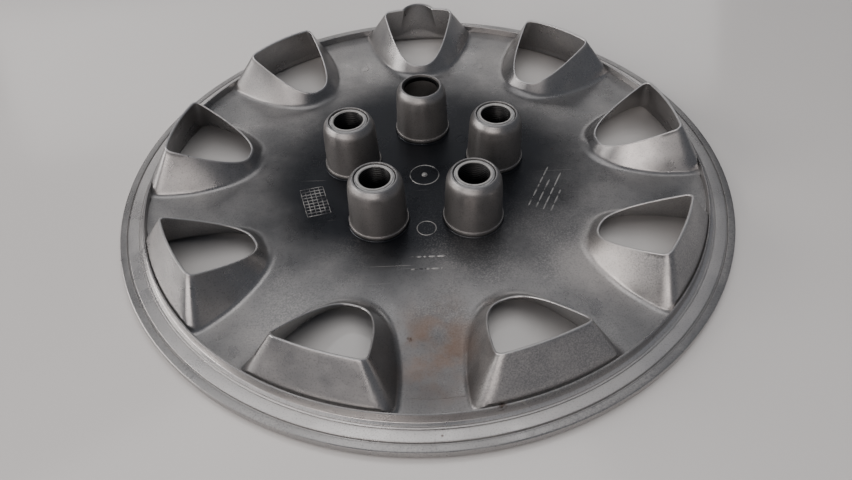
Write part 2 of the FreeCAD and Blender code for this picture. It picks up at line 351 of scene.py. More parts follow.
# ---------------------------------------------------------------- one ninth of the cover
class Sector:
    """The lines of points that make one hood, its window and its two half spokes."""

    def __init__(self, with_notch):
        self.with_notch = with_notch
        self.top_out = tilted_outline(-EDGE_HALF, TOP_SOFT_OUT)
        self.top_in = tilted_outline(EDGE_HALF, TOP_SOFT_IN)
        hood_base = level_outline(HOOD_INNER, HOOD_REACH, HOOD_HALF, HOOD_OUTER, HOOD_BASE, FOOT_SOFT)
        reach = math.sqrt(RECESS_OUTER ** 2 - RECESS_HALF ** 2)
        recess_base = level_outline(HOOD_INNER, reach, RECESS_HALF, RECESS_OUTER, RECESS_BASE,
                                    RECESS_SOFT)
        self.foot = np.array([foot_on(t, b, back_height) for t, b in zip(self.top_out, hood_base)])
        self.lip = np.array([foot_on(t, b, front_height) for t, b in zip(self.top_in, recess_base)])
        self.foot_out = self.directions(outward(self.foot))
        self.lip_out = self.directions(outward(self.lip))

    @staticmethod
    def directions(plan):
        """The directions with the loop's own winding settled, so that the nose points inwards."""
        sign = -np.sign(plan[NOSE][1])
        return plan * sign

    def notch(self, points, radius):
        if not self.with_notch:
            return points
        return [notched(point, radius) for point in points]

    def edge(self, row):
        """The wall's rounded top, from its outer face to its inner face."""
        out, inn = self.top_out[row], self.top_in[row]
        middle, half = (out + inn) / 2, (out - inn) / 2
        rise = np.array([0.0, -WINDOW_SLOPE, 1.0]) / math.hypot(1.0, WINDOW_SLOPE) * EDGE_RISE
        angles = np.linspace(0.0, math.pi, EDGE_POINTS)
        points = [middle - rise + half * math.cos(a) + rise * math.sin(a) for a in angles]
        if not self.with_notch:
            return points
        blend = np.linspace(NOTCH_OUTER, NOTCH_INNER, len(points))
        return [notched(point, radius) for point, radius in zip(points, blend)]

    def outer_wall(self, row, start):
        """From the wall's rounded edge down to the plate. The fillet at the foot is widest at the nose."""
        foot = self.foot[row]
        length = np.linalg.norm(start - foot)
        narrowing = (1.0 - FILLET_NARROWEST) * abs(row - NOSE) / FILLET_SPAN
        wide = max(1.0 - narrowing, FILLET_NARROWEST)
        upper = foot + (start - foot) * min(FILLET_UP * wide, WALL_SHARE * length) / length
        reach = foot[:2] + self.foot_out[row] * FILLET_OUT * wide
        lower = np.array([reach[0], reach[1], 0.0])
        lower[2] = back_height(radius_of(lower))
        slope = [start + (upper - start) * t for t in np.linspace(0.0, 1.0, 14)]
        points = slope + list(bezier(upper, foot, lower, 10)[1:])
        return [seam(point) for point in self.notch(points, NOTCH_OUTER)]

    def inner_wall(self, row, start):
        """From the rounded edge down the recess, and round its front edge."""
        lip = self.lip[row]
        length = np.linalg.norm(start - lip)
        upper = lip + (start - lip) * min(FRONT_ROUND_UP, WALL_SHARE * length) / length
        slope = [start + (upper - start) * t for t in np.linspace(0.0, 1.0, 26)]
        slope = [within(point, BEAD_INNER) for point in self.notch(slope, NOTCH_INNER)]
        corner = within(lip, BEAD_INNER)
        reach = corner[:2] + self.lip_out[row] * FRONT_ROUND_OUT
        lower = np.array([reach[0], reach[1], 0.0])
        lower[2] = front_height(radius_of(lower))
        return slope + [within(p, FRONT_EDGE - 0.2) for p in bezier(slope[-1], corner, lower, 7)[1:]]

    def walls(self):
        """Every row from the foot of the hood, over its edge, to the front face."""
        rows = []
        for row in range(ROWS):
            edge = self.edge(row)
            back = self.outer_wall(row, edge[0])
            front = self.inner_wall(row, edge[-1])
            rows.append(back[::-1] + edge[1:-1] + front)
        return rows


def border(share, end_radius, height_at, side):
    """A point on the edge of the sector: along the hub's circle first, then out along the spoke."""
    hub_share = 0.3
    if share <= hub_share:
        angle = side * HALF_SECTOR * share / hub_share
        return polar(HUB_RADIUS, angle, height_at(HUB_RADIUS))
    along = (share - hub_share) / (1.0 - hub_share)
    radius = HUB_RADIUS + (end_radius - HUB_RADIUS) * along
    return polar(radius, side * HALF_SECTOR, height_at(radius))


def fan(start, end, height_at, columns):
    """Points from start to end, evenly in radius and angle, lying on the plate."""
    points = [start]
    for t in np.linspace(0.0, 1.0, columns)[1:]:
        radius = radius_of(start) * (1 - t) + radius_of(end) * t
        angle = angle_of(start) * (1 - t) + angle_of(end) * t
        points.append(polar(radius, angle, height_at(radius)))
    return points


def flank_ends(starts, nose, last, end_radius, height_at):
    """Where the fans of the rows nose - last .. nose + last end, by row."""
    right = list(range(nose, last + 1))
    left = [2 * nose - row for row in right]
    ends = {}
    for rows, side in ((right, 1.0), (left, -1.0)):
        for row, share in zip(rows, fractions(starts[rows])):
            ends[row] = border(share, end_radius, height_at, side)
    return ends


def hub_side(ends):
    """The fans' ends on the hub's circle and the next one on the right, in the rows' order."""
    rows = [row for row in sorted(ends) if radius_of(ends[row]) < HUB_RADIUS + 1e-6]
    return [ends[row] for row in rows + [rows[-1] + 1]]


def back_plate(rows):
    """Fans on the wheel side, the line of points inside the rib, and the points on the hub."""
    feet = np.array([row[0] for row in rows])
    last = max(n for n in range(FLANK_ROWS + CORNER_ROWS) if radius_of(feet[n]) < RIB_HIDDEN - 0.3)
    ends = flank_ends(feet, NOSE, last, RIB_HIDDEN, back_height)
    fans = [fan(feet[row], ends[row], back_height, BACK_COLUMNS) for row in sorted(ends)]
    first = 2 * NOSE - last
    chain = fans[-1][::-1][:-1] + [feet[row % ROWS] for row in range(last, ROWS + first)] + fans[0]
    return fans, chain, hub_side(ends)


def front_plate(rows):
    """Fans on the front side, the line of points on the rim's flat face, and those on the hub."""
    lips = np.array([row[-1] for row in rows])
    last = FLANK_ROWS - 1 + CORNER_ROWS // 2
    ends = flank_ends(lips, NOSE, last, FRONT_EDGE, front_height)
    around = list(range(last, ROWS + 2 * NOSE - last + 1))
    hub = hub_side(ends)
    for row, share in zip(around[1:-1], fractions(lips[np.array(around) % ROWS])[1:-1]):
        ends[row] = polar(FRONT_EDGE, HALF_SECTOR * (1 - 2 * share), 0.0)
    order = list(range(2 * NOSE - last, ROWS + 2 * NOSE - last + 1))
    ends[order[-1]] = ends[order[0]]
    fans = [fan(lips[row % ROWS], ends[row], front_height, FRONT_COLUMNS) for row in order]
    chain = [ends[row] for row in around]
    return fans, chain, hub


# ---------------------------------------------------------------- turned shapes
def soften(corners, steps=5):
    """A section's corners (radius, height, roundness) as points, each corner rounded."""
    points = []
    for n, (radius, height, roundness) in enumerate(corners):
        here = np.array([radius, height])
        if roundness == 0 or n in (0, len(corners) - 1):
            points.append(here)
            continue
        before, after = (np.array(corners[m][:2]) - here for m in (n - 1, n + 1))
        reach = [min(roundness, 0.48 * np.linalg.norm(side)) for side in (before, after)]
        start = here + before / np.linalg.norm(before) * reach[0]
        end = here + after / np.linalg.norm(after) * reach[1]
        points.extend(bezier(start, here, end, steps))
    return points


def lathe(section, angles):
    """Rows of points round the axis, one row for each angle clockwise from +Y."""
    return [[polar(radius, angle, height) for radius, height in section] for angle in angles]


def full_turn(steps):
    return np.linspace(0.0, 2 * math.pi, steps, endpoint=False)


# A section is a row of corners as (radius, height, roundness), turned round an axis by lathe.
RIM_SECTION = (
    (FRONT_EDGE, 0.0, 0.0),
    (COVER_RADIUS - 0.9, 0.0, 1.6),
    (COVER_RADIUS, 1.4, 1.0),
    (COVER_RADIUS, 6.0, 0.9),
    (191.75, 6.0, 0.35),
    (191.45, 5.0, 0.1),
    (190.75, 5.0, 0.1),
    (190.5, 6.3, 0.3),
    (184.35, 6.3, 0.12),
    (184.25, 5.85, 0.0),
    (184.05, 5.85, 0.0),
    (183.95, 6.4, 0.12),
    (183.1, 6.5, 0.12),
    (183.0, 6.15, 0.0),
    (182.8, 6.15, 0.0),
    (182.7, 6.65, 0.12),
    (RIB_OUTER + 0.5, 7.1, 0.5),
    (RIB_OUTER - 0.2, RIB_TOP, 0.45),
    (RIB_INNER + 0.1, RIB_TOP, 0.45),
    (RIB_INNER, 4.0, 0.0),
)


def boss_centre(number):
    """Centre of a boss. Boss 1 is at +Y, and they count on anticlockwise."""
    return turned(polar(LUG_CIRCLE_RADIUS, 0.0, 0.0), 2 * math.pi / BOSSES * (number - 1))


BOSS_SECTION = (
    (COLLAR_RADIUS + 0.5, PLATE_BACK, 0.0),
    (COLLAR_RADIUS, PLATE_BACK + 0.35, 0.3),
    (COLLAR_RADIUS, 9.3, 0.45),
    (18.2, 9.3, 0.3),
    (18.0, 9.9, 0.4),
    (17.05, 33.5, 2.5),
    (16.4, 38.4, 2.0),
    (14.1, 41.6, 0.9),
    (13.5, BOSS_TOP, 0.35),
    (12.75, BOSS_TOP, 0.35),
    (12.6, 40.5, 0.1),
    (11.3, 40.5, 0.25),
    (11.3, 38.0, 0.2),
    (14.3, 38.0, 0.3),
    (POCKET_FRONT, PLATE_FRONT, 0.6),
    (POCKET_FRONT + 0.6, PLATE_FRONT, 0.0),
)


def circle(radius, steps):
    return [polar(radius, angle, 0.0)[:2] for angle in full_turn(steps)]


def cover_mesh():
    """The whole moulding as one closed skin."""
    skin = Skin()
    back_hub, front_hub, rim_angles = [], [], []
    for number in range(WINDOWS):
        sector = Sector(with_notch=number == 0)
        rows = sector.walls()
        spin = SECTOR * number
        skin.grid([turned(row, spin) for row in rows], closed=True)
        fans, inner_chain, hub = back_plate(rows)
        skin.grid([turned(row, spin) for row in fans])
        back_hub.append(turned(hub, spin))
        fans, outer_chain, hub = front_plate(rows)
        skin.grid([turned(row, spin) for row in fans])
        front_hub.append(turned(hub, spin))
        angles = [angle_of(point) for point in outer_chain]
        rim = lathe(soften(RIM_SECTION), angles)
        skin.grid([turned(row, spin) for row in rim])
        rib_foot = [row[-1] for row in rim]
        inner_at = [-angle_of(point) for point in inner_chain]
        skin.zipper(turned(inner_chain, spin), turned(rib_foot, spin),
                    inner_at, [-angle for angle in angles])
    back_holes, front_holes = [], []
    for number in range(1, BOSSES + 1):
        centre = boss_centre(number)
        section = soften(BOSS_SECTION, 8)
        skin.grid([np.array(row) + centre for row in lathe(section, full_turn(BOSS_STEPS))], closed=True)
        back_holes.append([p + centre[:2] for p in circle(BOSS_SECTION[0][0], BOSS_STEPS)])
        front_holes.append([p + centre[:2] for p in circle(BOSS_SECTION[-1][0], BOSS_STEPS)])
    skin.sheet(np.concatenate(back_hub[::-1]), back_holes, PLATE_BACK)
    badge = soften(((BADGE_RADIUS + BADGE_DEPTH, PLATE_FRONT, 0.0),
                    (BADGE_RADIUS, PLATE_FRONT + BADGE_DEPTH, 0.5),
                    (0.0, PLATE_FRONT + BADGE_DEPTH, 0.0)))
    skin.grid(lathe(badge, full_turn(BOSS_STEPS)), closed=True)
    front_holes.append(circle(badge[0][0], BOSS_STEPS))
    skin.sheet(np.concatenate(front_hub[::-1]), front_holes, PLATE_FRONT)
    return skin.mesh("wheel_cover_moulding")


# ---------------------------------------------------------------- nut caps and their rings
CAP_CORNERS = (
    (0.0, 7.5, 0.0),
    (5.5, 7.5, 1.0),
    (7.0, 7.0, 0.6),
)
CAP_STEM = (
    (11.0, 24.0, 0.0),
    (11.0, 31.0, 0.2),
    (13.6, 31.0, 0.2),
    (13.6, 33.5, 0.2),
    (11.0, 33.5, 0.3),
    (11.0, 40.45, 0.1),
    (10.55, 40.45, 0.0),
    (10.55, 41.45, 0.0),
    (11.0, 41.45, 0.1),
    (11.0, 41.9, 0.2),
    (9.85, 41.9, 0.25),
    (9.7, 41.4, 0.0),
)
HEX_FLATS = 19.0
HEX_FRONT = 7.0
HEX_BACK = 24.0
THREAD_PITCH = 1.5
THREAD_TOP = 41.3
THREAD_END = 20.6
BORE_RADIUS = 9.3
THREAD_DEPTH = 0.5
# The blind end of the socket, from its wall to its axis.
SOCKET_END = ((BORE_RADIUS, 20.4), (BORE_RADIUS - 0.4, 20.0), (4.0, 19.8), (0.0, 19.8))
# Heights at which the head's side has points, and the cone that takes its corners off.
HEX_HEIGHTS = (HEX_FRONT, HEX_FRONT + 0.25, HEX_FRONT + 0.6, HEX_FRONT + 1.0, HEX_FRONT + 1.5,
               HEX_BACK - 0.6, HEX_BACK - 0.3, HEX_BACK)
CONE_START = HEX_FLATS / 2 - 0.3
CONE_SLOPE = 1.2
CAP_STEPS = 144
RING_STEPS = 120


def hex_radius(angle):
    sixth = math.radians(60.0)
    return HEX_FLATS / 2 / math.cos((angle + sixth / 2) % sixth - sixth / 2)


def hex_side(angle):
    """The head's side at one angle, with the corners of both ends taken off by a cone."""
    full = hex_radius(angle)
    points = []
    for height in HEX_HEIGHTS:
        room = min(height - HEX_FRONT, HEX_BACK - height)
        points.append((min(full, CONE_START + CONE_SLOPE * room), height))
    return points


def thread(angle):
    """The socket's wall at one angle, from its mouth to its floor."""
    points = []
    for height in np.arange(THREAD_TOP, THREAD_END, -THREAD_PITCH / 6):
        phase = (height / THREAD_PITCH - angle / (2 * math.pi)) % 1.0
        depth = THREAD_DEPTH * abs(2 * phase - 1)
        points.append((BORE_RADIUS + depth, height))
    return points + list(SOCKET_END)


def cap_mesh(number):
    """Hexagon head, float flange, sleeve with the ring's groove, and a threaded blind socket."""
    skin = Skin()
    rows = []
    spin = 2 * math.pi / BOSSES * (number - 1)
    for angle in full_turn(CAP_STEPS):
        section = soften(CAP_CORNERS) + hex_side(angle) + soften(CAP_STEM) + thread(angle)
        rows.append([polar(radius, angle, height) for radius, height in section])
    skin.grid([turned(row, spin) + boss_centre(number) for row in rows], closed=True)
    return skin.mesh("nut_cap_turned_%d" % number)


RING_SECTION = (
    (10.63, 40.55, 0.0),
    (11.8, 40.52, 0.2),
    (12.2, 40.52, 0.2),
    (12.2, 41.15, 0.3),
    (11.8, 41.4, 0.3),
    (11.0, 41.4, 0.2),
    (10.63, 41.2, 0.2),
    (10.63, 40.55, 0.0),
)
# The ring with a broken edge: where the break is and where it starts, and its shares in and down.
CHIPPED_BOSS = 2
CHIP_ANGLE = math.radians(-42.0)
CHIP_HALF = math.radians(21.0)
CHIP_FROM = 10.9
CHIP_SPAN = 1.3
CHIP_IN = 0.09
CHIP_DOWN = 0.5
RING_FLOOR = 40.5


def chip_depth(angle):
    """How far a broken edge dips at one angle: a ragged gap at the outer left."""
    away = abs((angle - CHIP_ANGLE + math.pi) % (2 * math.pi) - math.pi)
    ragged = 0.8 + 0.2 * math.sin(angle * 61.0) + 0.12 * math.sin(angle * 97.0)
    return max(0.0, 1.0 - (away / CHIP_HALF) ** 2) ** 0.6 * ragged


def ring_mesh(number):
    skin = Skin()
    rows = lathe(soften(RING_SECTION), full_turn(RING_STEPS))
    if number == CHIPPED_BOSS:
        for row, angle in zip(rows, full_turn(RING_STEPS)):
            for point in row:
                share = chip_depth(angle)
                radius = radius_of(point)
                shrink = 1.0 - CHIP_IN * share * max(0.0, radius - CHIP_FROM) / CHIP_SPAN
                point[:2] *= shrink
                point[2] -= CHIP_DOWN * share * (point[2] - RING_FLOOR)
    skin.grid([np.array(row) + boss_centre(number) for row in rows], closed=True)
    return skin.mesh("cap_ring_%d" % number)


# ---------------------------------------------------------------- small marks left by the mould
# How deep a ridge lies in the plate, and the share of its section left at its ends.
RIDGE_SINK = 0.06
RIDGE_END = 0.35


def bead(points, width, height, closed=False):
    """A low rounded ridge along a line of points on the plate, its ends tapering to nothing."""
    skin = Skin()
    line = np.array(points, float)
    if closed:
        along = np.roll(line, -1, axis=0) - np.roll(line, 1, axis=0)
    else:
        along = np.gradient(line, axis=0)
    along[:, 2] = 0.0
    along /= np.linalg.norm(along, axis=1)[:, None]
    side = np.column_stack([along[:, 1], -along[:, 0], np.zeros(len(line))])
    rows = []
    for n, point in enumerate(line):
        scale = 1.0 if closed or 0 < n < len(line) - 1 else RIDGE_END
        row = []
        for angle in np.linspace(0.0, 2 * math.pi, 9):
            across = math.cos(angle) * width / 2 * scale
            up = math.sin(angle) * (height if math.sin(angle) > 0 else RIDGE_SINK) * scale
            row.append(point + side[n] * across + np.array([0.0, 0.0, up]))
        rows.append(row)
    if not closed:
        rows.insert(0, [line[0] - along[0] * width * 0.25] * 9)
        rows.append([line[-1] + along[-1] * width * 0.25] * 9)
    skin.grid(rows, closed=closed)
    return skin


def joined(name, skins):
    whole = Skin()
    for skin in skins:
        start = len(whole.points)
        whole.points.extend(skin.points)
        whole.faces.extend(tuple(n + start for n in face) for face in skin.faces)
    return whole.mesh(name, merge=0.001)


def ring_line(centre, radius):
    return [polar(radius, a, PLATE_BACK) + [centre[0], centre[1], 0.0] for a in full_turn(72)]


def straight(start, end):
    start, end = np.array(start, float), np.array(end, float)
    return [start + (end - start) * t for t in np.linspace(0.0, 1.0, 6)]


def dashes(corner, along, down, lengths, rows, width, height):
    """Rows of plain raised dashes. lengths gives the dashes and gaps of one row, in turn."""
    corner, along, down = (np.array(v, float) for v in (corner, along, down))
    skins = []
    for row in range(rows):
        at = 0.0
        for n, length in enumerate(lengths[row % len(lengths)]):
            if n % 2 == 0:
                start = corner + down * row + along * at
                end = start + along * length
                skins.append(bead(straight([*start, PLATE_BACK], [*end, PLATE_BACK]), width, height))
            at += length
    return skins


def grid_mark(corner, across, down, columns, rows):
    corner, across, down = (np.array(v, float) for v in (corner, across, down))
    skins = []
    for n in range(columns + 1):
        start = corner + across * n / columns
        skins.append(bead(straight([*start, PLATE_BACK], [*(start + down), PLATE_BACK]), 0.5, 0.3))
    for n in range(rows + 1):
        start = corner + down * n / rows
        skins.append(bead(straight([*start, PLATE_BACK], [*(start + across), PLATE_BACK]), 0.5, 0.3))
    return skins


# Round marks of the ejector pins, as (radius, degrees anticlockwise from +Y).
EJECTOR_MARKS = ((86.8, 68.9), (44.5, 323.3), (88.2, 289.5), (136.0, 19.0), (133.7, 339.9))
# Plain dashes in place of the mould's text, as the lengths of dashes and gaps in turn, one row each.
SHORT_ROWS = ((2.6, 1.1, 3.4, 1.2, 1.6, 1.4, 4.0, 1.0, 5.0),
              (4.4, 1.0, 2.2, 1.2, 3.0, 1.0, 4.6, 1.1, 2.8))
BLOCK_ROWS = ((8.0, 1.4, 12.0, 1.2, 6.5, 1.3, 9.0),
              (5.0, 1.2, 9.5, 1.4, 11.0),
              (13.0, 1.3, 7.0, 1.2, 14.0),
              (6.0, 1.5, 8.0, 1.3, 4.0))
# A fine line across the near spoke: its radius, and its ends in degrees clockwise from +Y.
NEAR_LINE_RADIUS = 168.0
NEAR_LINE_ARC = (174.0, 185.0)
# Short ticks across the rim, one pair on each spoke, as (inner radius, outer radius, height).
RIM_TICKS = ((189.0, 190.3, 6.3), (191.9, 195.2, 6.0))


def at_azimuth(radius, degrees):
    """A point by its radius and its angle anticlockwise from +Y."""
    return turned(polar(radius, 0.0, 0.0), math.radians(degrees))


def gate_dome():
    """The small sprue stub in the middle of the plate."""
    section = soften(((0.0, 7.1, 0.0), (1.5, 7.0, 0.6), (2.1, 5.9, 0.0)))
    skin = Skin()
    skin.grid(lathe(section, full_turn(48)), closed=True)
    return skin


def mould_marks():
    """Every mark that the mould leaves on the wheel side, as (name, skins)."""
    marks = [
        ("centre_ring", [bead(ring_line((0, 0), 9.5), 0.7, 0.22, closed=True), gate_dome()]),
        ("side_ring", [bead(ring_line((0, -49.2), 5.9), 0.6, 0.22, closed=True)]),
    ]
    pins = []
    for radius, degrees in EJECTOR_MARKS:
        centre = at_azimuth(radius, degrees)
        pins.append(bead(ring_line(centre, 3.6), 0.4, 0.12, closed=True))
    marks.append(("ejector_marks", pins))
    marks.append(("grid_mark", grid_mark((-81.9, -10.4), (14.6, 3.2), (7.2, -24.8), 5, 9)))
    marks.append(("dash_rows", dashes((-10.8, -72.5), (1, 0), (0, -9.5), SHORT_ROWS, 2, 1.3, 0.35)))
    marks.append(("dash_block", dashes((65.0, -33.0), (0.44, 0.9), (4.4, -1.9), BLOCK_ROWS, 4, 1.1, 0.3)))
    level = back_height(NEAR_LINE_RADIUS)
    across = [polar(NEAR_LINE_RADIUS, math.radians(a), level) for a in np.linspace(*NEAR_LINE_ARC, 24)]
    marks.append(("near_line", [bead(across, 0.6, 0.2)]))
    ticks = []
    for number in range(WINDOWS):
        for low, high, height in RIM_TICKS:
            line = straight(polar(low, 0.0, height), polar(high, 0.0, height))
            ticks.append(bead(turned(line, SECTOR * (number + 0.5)), 0.5, 0.12))
    marks.append(("rim_ticks", ticks))
    return marks


# ---------------------------------------------------------------- materials
class Shading:
    """A material's nodes, made and joined in short lines."""

    def __init__(self, name):
        self.material = bpy.data.materials.new(name)
        self.material.use_nodes = True
        self.tree = self.material.node_tree
        self.shader = self.tree.nodes["Principled BSDF"]
        self.place = self.node("ShaderNodeTexCoord").outputs["Object"]

    def node(self, kind, **settings):
        made = self.tree.nodes.new(kind)
        for name, value in settings.items():
            setattr(made, name, value)
        return made

    def join(self, source, target):
        if isinstance(source, bpy.types.NodeSocket):
            self.tree.links.new(source, target)
        else:
            target.default_value = source

    def math(self, operation, *values):
        made = self.node("ShaderNodeMath", operation=operation)
        for value, socket in zip(values, made.inputs):
            self.join(value, socket)
        return made.outputs[0]

    def times(self, first, second):
        return self.math("MULTIPLY", first, second)

    def without(self, share):
        """What is left of 1 when the share is taken away."""
        return self.math("SUBTRACT", 1.0, share)

    def mapped(self, rotation, scale):
        """The object's coordinates turned, then stretched."""
        made = self.node("ShaderNodeMapping")
        self.join(self.place, made.inputs["Vector"])
        made.inputs["Rotation"].default_value = rotation
        made.inputs["Scale"].default_value = scale
        return made.outputs["Vector"]

    def noise(self, scale, detail=3.0, rough=0.55, place=None):
        made = self.node("ShaderNodeTexNoise")
        self.join(place or self.place, made.inputs["Vector"])
        made.inputs["Scale"].default_value = scale
        made.inputs["Detail"].default_value = detail
        made.inputs["Roughness"].default_value = rough
        return made.outputs["Fac"]

    def remap(self, value, low, high, to_low=0.0, to_high=1.0):
        made = self.node("ShaderNodeMapRange", interpolation_type="SMOOTHSTEP")
        self.join(value, made.inputs["Value"])
        for name, number in (("From Min", low), ("From Max", high), ("To Min", to_low), ("To Max", to_high)):
            made.inputs[name].default_value = number
        return made.outputs["Result"]

    def mix(self, share, first, second):
        made = self.node("ShaderNodeMix", data_type="RGBA", blend_type="MIX")
        self.join(share, made.inputs["Factor"])
        self.join(self.colour(first), made.inputs["A"])
        self.join(self.colour(second), made.inputs["B"])
        return made.outputs["Result"]

    @staticmethod
    def colour(value):
        return value if isinstance(value, bpy.types.NodeSocket) else (*value, 1.0)

    def split(self):
        made = self.node("ShaderNodeSeparateXYZ")
        self.join(self.place, made.inputs[0])
        return made.outputs

    def away_from(self, centre, scale=(1.0, 1.0, 1.0)):
        """Distance in metres from a point, with each axis stretched by scale."""
        moved = self.node("ShaderNodeVectorMath", operation="SUBTRACT")
        self.join(self.place, moved.inputs[0])
        moved.inputs[1].default_value = centre
        sized = self.node("ShaderNodeVectorMath", operation="MULTIPLY")
        self.join(moved.outputs[0], sized.inputs[0])
        sized.inputs[1].default_value = scale
        length = self.node("ShaderNodeVectorMath", operation="LENGTH")
        self.join(sized.outputs[0], length.inputs[0])
        return length.outputs["Value"]

    def bump(self, height, distance, strength=1.0, below=None):
        made = self.node("ShaderNodeBump")
        made.inputs["Distance"].default_value = distance
        made.inputs["Strength"].default_value = strength
        self.join(height, made.inputs["Height"])
        if below is not None:
            self.join(below, made.inputs["Normal"])
        return made.outputs["Normal"]

    def finish(self, colour, roughness, normal, **constants):
        self.join(colour, self.shader.inputs["Base Color"])
        self.join(roughness, self.shader.inputs["Roughness"])
        self.join(normal, self.shader.inputs["Normal"])
        for name, value in constants.items():
            self.shader.inputs[name.replace("_", " ")].default_value = value
        return self.material


SILVER = (0.300, 0.296, 0.298)
SILVER_LIGHT = (0.52, 0.49, 0.475)
RIM_BAND = (0.63, 0.61, 0.60)
DULL_LIP = (0.19, 0.188, 0.19)
# Colour of the bare moulding, also used for the painted shade on the near spoke.
BARE_AND_SHADE = (0.026, 0.028, 0.033)
BOSS_GREY = (0.26, 0.25, 0.245)
# Painted shade, for the insides of the bosses' mouths and the caps' sockets.
SHADE_BLACK = (0.006, 0.006, 0.007)
STAIN = (0.21, 0.12, 0.075)
RUST = (0.06, 0.028, 0.018)
LIGHTER_EDGE = (0.66, 0.65, 0.65)
MARK_DARK = (0.05, 0.05, 0.055)
MARK_WORN = (0.30, 0.295, 0.29)
CAP_DARK = (0.055, 0.055, 0.06)
CAP_LIGHT = (0.12, 0.12, 0.125)
CAP_END = (0.36, 0.355, 0.35)
RING_DARK = (0.28, 0.28, 0.285)
RING_LIGHT = (0.50, 0.50, 0.50)
TABLE_DARK = (0.49, 0.475, 0.468)
TABLE_LIGHT = (0.53, 0.515, 0.508)

# Where the look changes, in metres. Each pair is where a change starts and where it is complete.
# These are heights above the cover's lowest point.
WHEEL_SIDE = (0.0044, 0.0054)
BOSS_FOOT = (0.0066, 0.0085)
BOSS_SHOULDER = (0.034, 0.041)
MOUTH_RIM = (0.0406, 0.0414)
MOUTH_TOP = (0.0411, 0.0416)
HOOD_FOOT = (0.0100, 0.0115)
BORE_FLOOR = (0.018, 0.019)
CAP_TOP = (0.0411, 0.0415)
# These are distances from the nearest boss's axis.
BOSS_OUTSIDE = (0.0195, 0.0205)
MOUTH_OUTSIDE = (0.0127, 0.0131)
MOUTH_INSIDE = (0.01245, 0.0127)
BORE_INSIDE = (0.0099, 0.0102)
# These are distances from the cover's axis.
RIM_START = (0.1803, 0.1812)
LIP_START = (0.1895, 0.1920)
WINDOW_START = (0.108, 0.112)
# This one is along Y: the near part of the cover is sandier.
SANDY_PART = (-0.07, -0.02)

# Places on the wheel side, as a centre in metres and the distances between which each fades out.
THIN_CENTRE = (-0.005, 0.010, 0.0)
THIN_FADE = (0.092, 0.162)
LIGHT_CENTRE = (0.098, -0.088, 0.006)
LIGHT_FADE = (0.3 * 0.034, 0.034)
# Painted shade: a darker place on the near spoke.
PAINTED_SHADE_CENTRE = (0.0, -0.148, 0.006)
PAINTED_SHADE_FADE = (0.010, 0.040)
STAIN_CENTRE = (0.004, -0.138, 0.006)
STAIN_FADE = (0.006, 0.034)
# Small rust spots as (x, y, z, radius) in millimetres.
RUST_SPOTS = ((-11.5, -131.0, 6.0, 2.2), (33.0, -176.5, 12.0, 3.2), (3.5, -187.5, 6.3, 0.9),
              (88.0, 21.0, 6.0, 0.8))


def from_boss(s):
    """Distance from the nearest boss's axis."""
    nearest = None
    for number in range(1, BOSSES + 1):
        away = s.away_from(boss_centre(number) * MM, (1.0, 1.0, 0.0))
        nearest = away if nearest is None else s.math("MINIMUM", nearest, away)
    return nearest


def thin_paint(s):
    """1 where the paint barely covers the dark moulding: a wide patch round the bosses."""
    away = s.away_from(THIN_CENTRE, (0.9, 1.0, 0.0))
    ragged = s.times(s.noise(11.0, 4.0, 0.6), 0.05)
    return s.remap(s.math("ADD", away, ragged), *THIN_FADE, 1.0, 0.0)


def window_edges(s, x, y, z, radius):
    """1 on the rounded edges of the windows, which are made lighter."""
    side = s.math("PINGPONG", s.math("ABSOLUTE", s.math("ARCTAN2", x, y)), HALF_SECTOR)
    out = s.times(radius, s.math("COSINE", side))
    climb = s.times(s.math("SUBTRACT", out, WINDOW_INNER * MM), WINDOW_SLOPE)
    above = s.math("SUBTRACT", s.math("SUBTRACT", z, climb), WINDOW_LOW * MM)
    edge_band = s.times(s.remap(above, -0.0010, -0.0003), s.remap(radius, *WINDOW_START))
    return s.times(edge_band, s.remap(z, *HOOD_FOOT))


def hairlines(s, turn, threshold):
    """Fine scratches in one direction."""
    place_at = s.mapped((0.0, 0.0, turn), (14.0, 900.0, 40.0))
    return s.remap(s.noise(1.0, 2.0, 0.5, place_at), threshold, threshold + 0.05)


